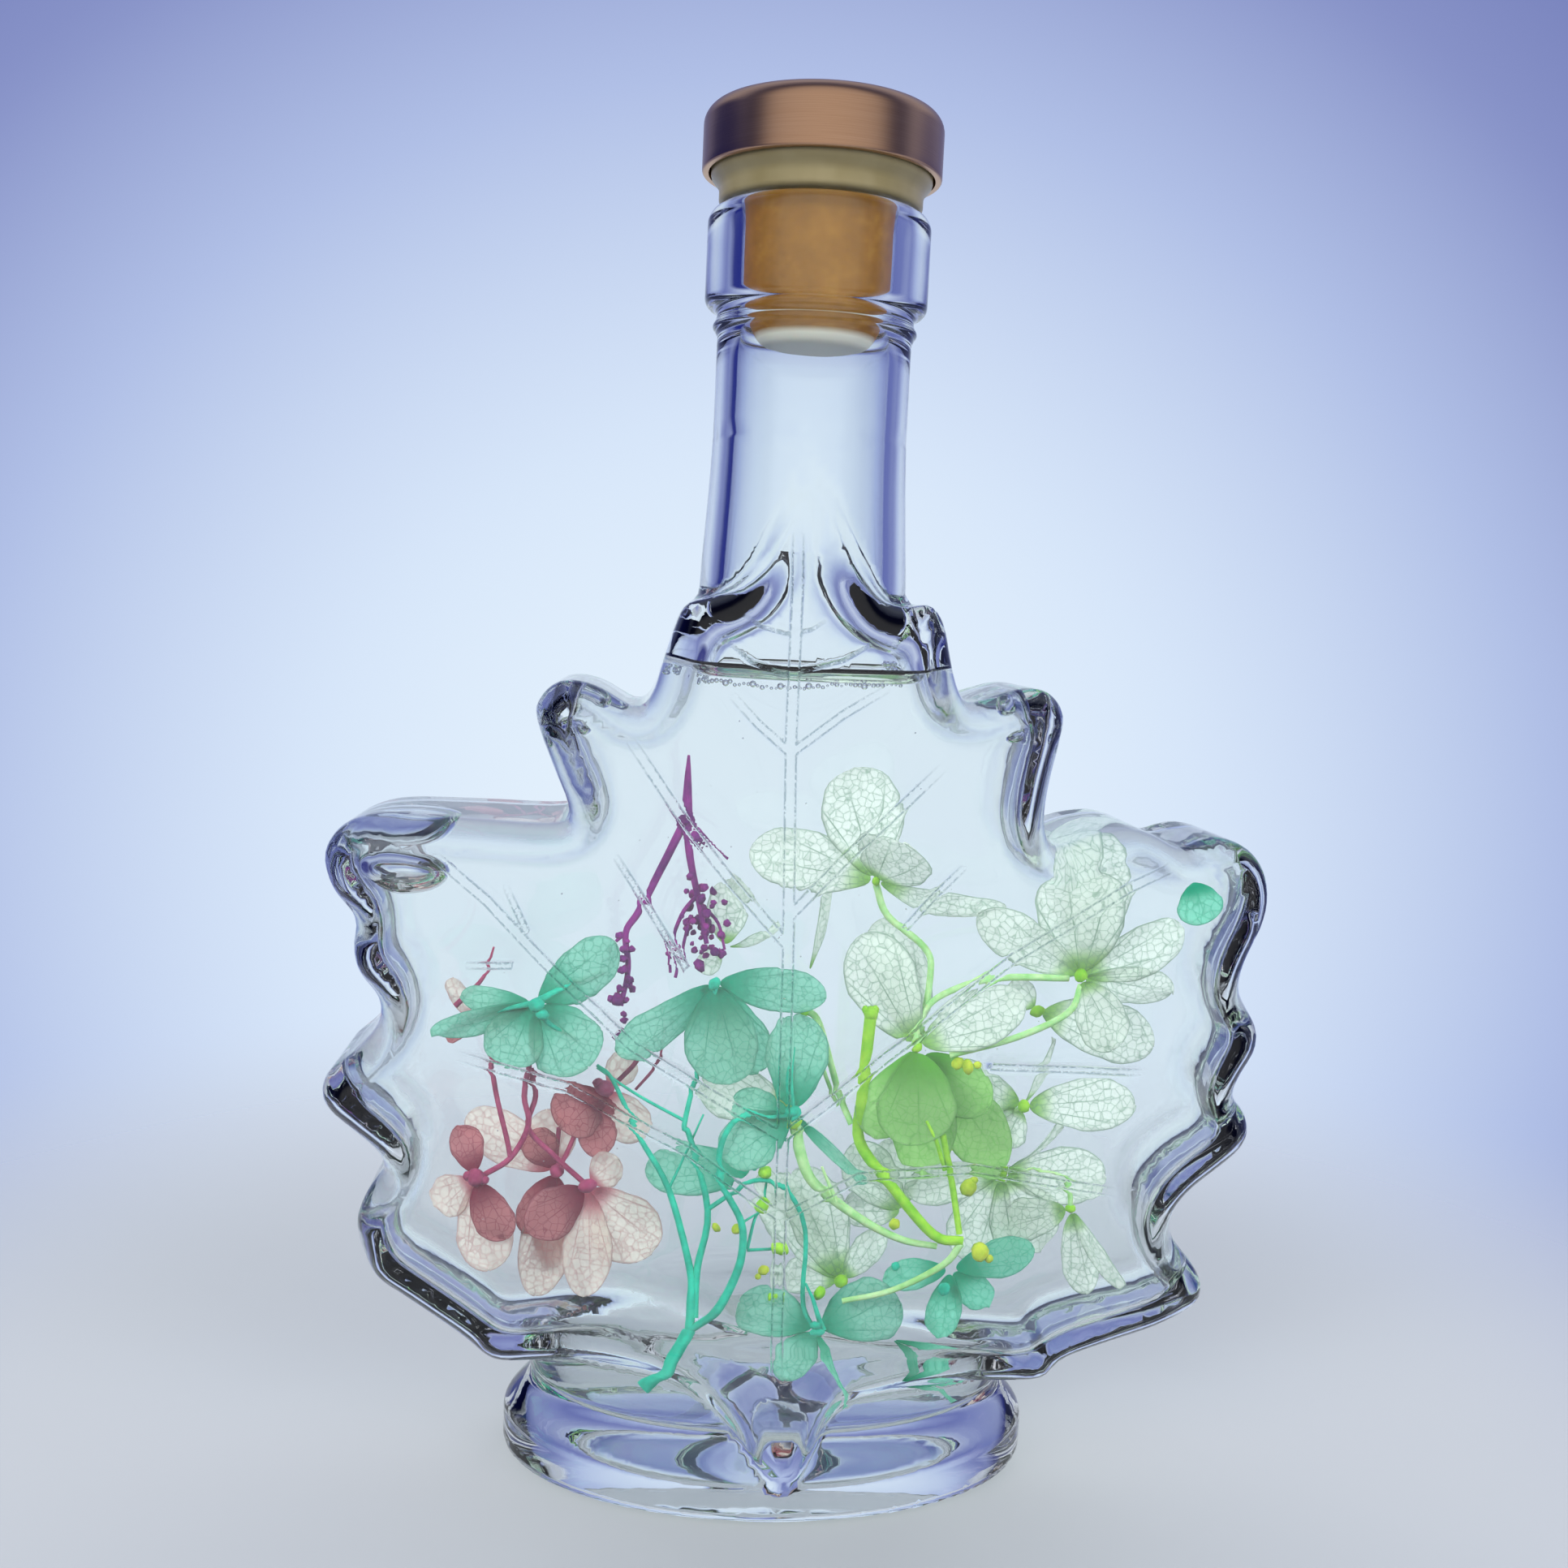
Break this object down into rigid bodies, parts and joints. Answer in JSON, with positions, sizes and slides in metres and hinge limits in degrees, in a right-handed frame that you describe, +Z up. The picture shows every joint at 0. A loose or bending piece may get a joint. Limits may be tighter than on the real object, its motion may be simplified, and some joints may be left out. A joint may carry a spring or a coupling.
{
  "type": "maple leaf bottle",
  "caption": "Clear glass bottle moulded as a maple leaf on an oval foot, holding clear oil with preserved flowers, closed by a push-in stopper with a satin metal cap.",
  "frame": {"origin": "middle of the oval foot's underside, below the axis of the neck", "axes": "+X to the right across the leaf, +Y from the front face to the back face, +Z up along the neck"},
  "size_m": [0.1154, 0.0444, 0.168],
  "materials": {
    "bottle_glass": "polished",
    "clear_oil": "clear liquid",
    "plug_plastic": "matte",
    "collar_plastic": "semi-gloss",
    "satin_metal": "satin, rose gold tint"
  },
  "bodies": {
    "root": {"glass_bottle": "bottle_glass", "oil": "clear_oil", "stopper_plug": "plug_plastic", "stopper_collar": "collar_plastic", "metal_cap": "satin_metal"}
  },
  "joints": []
}
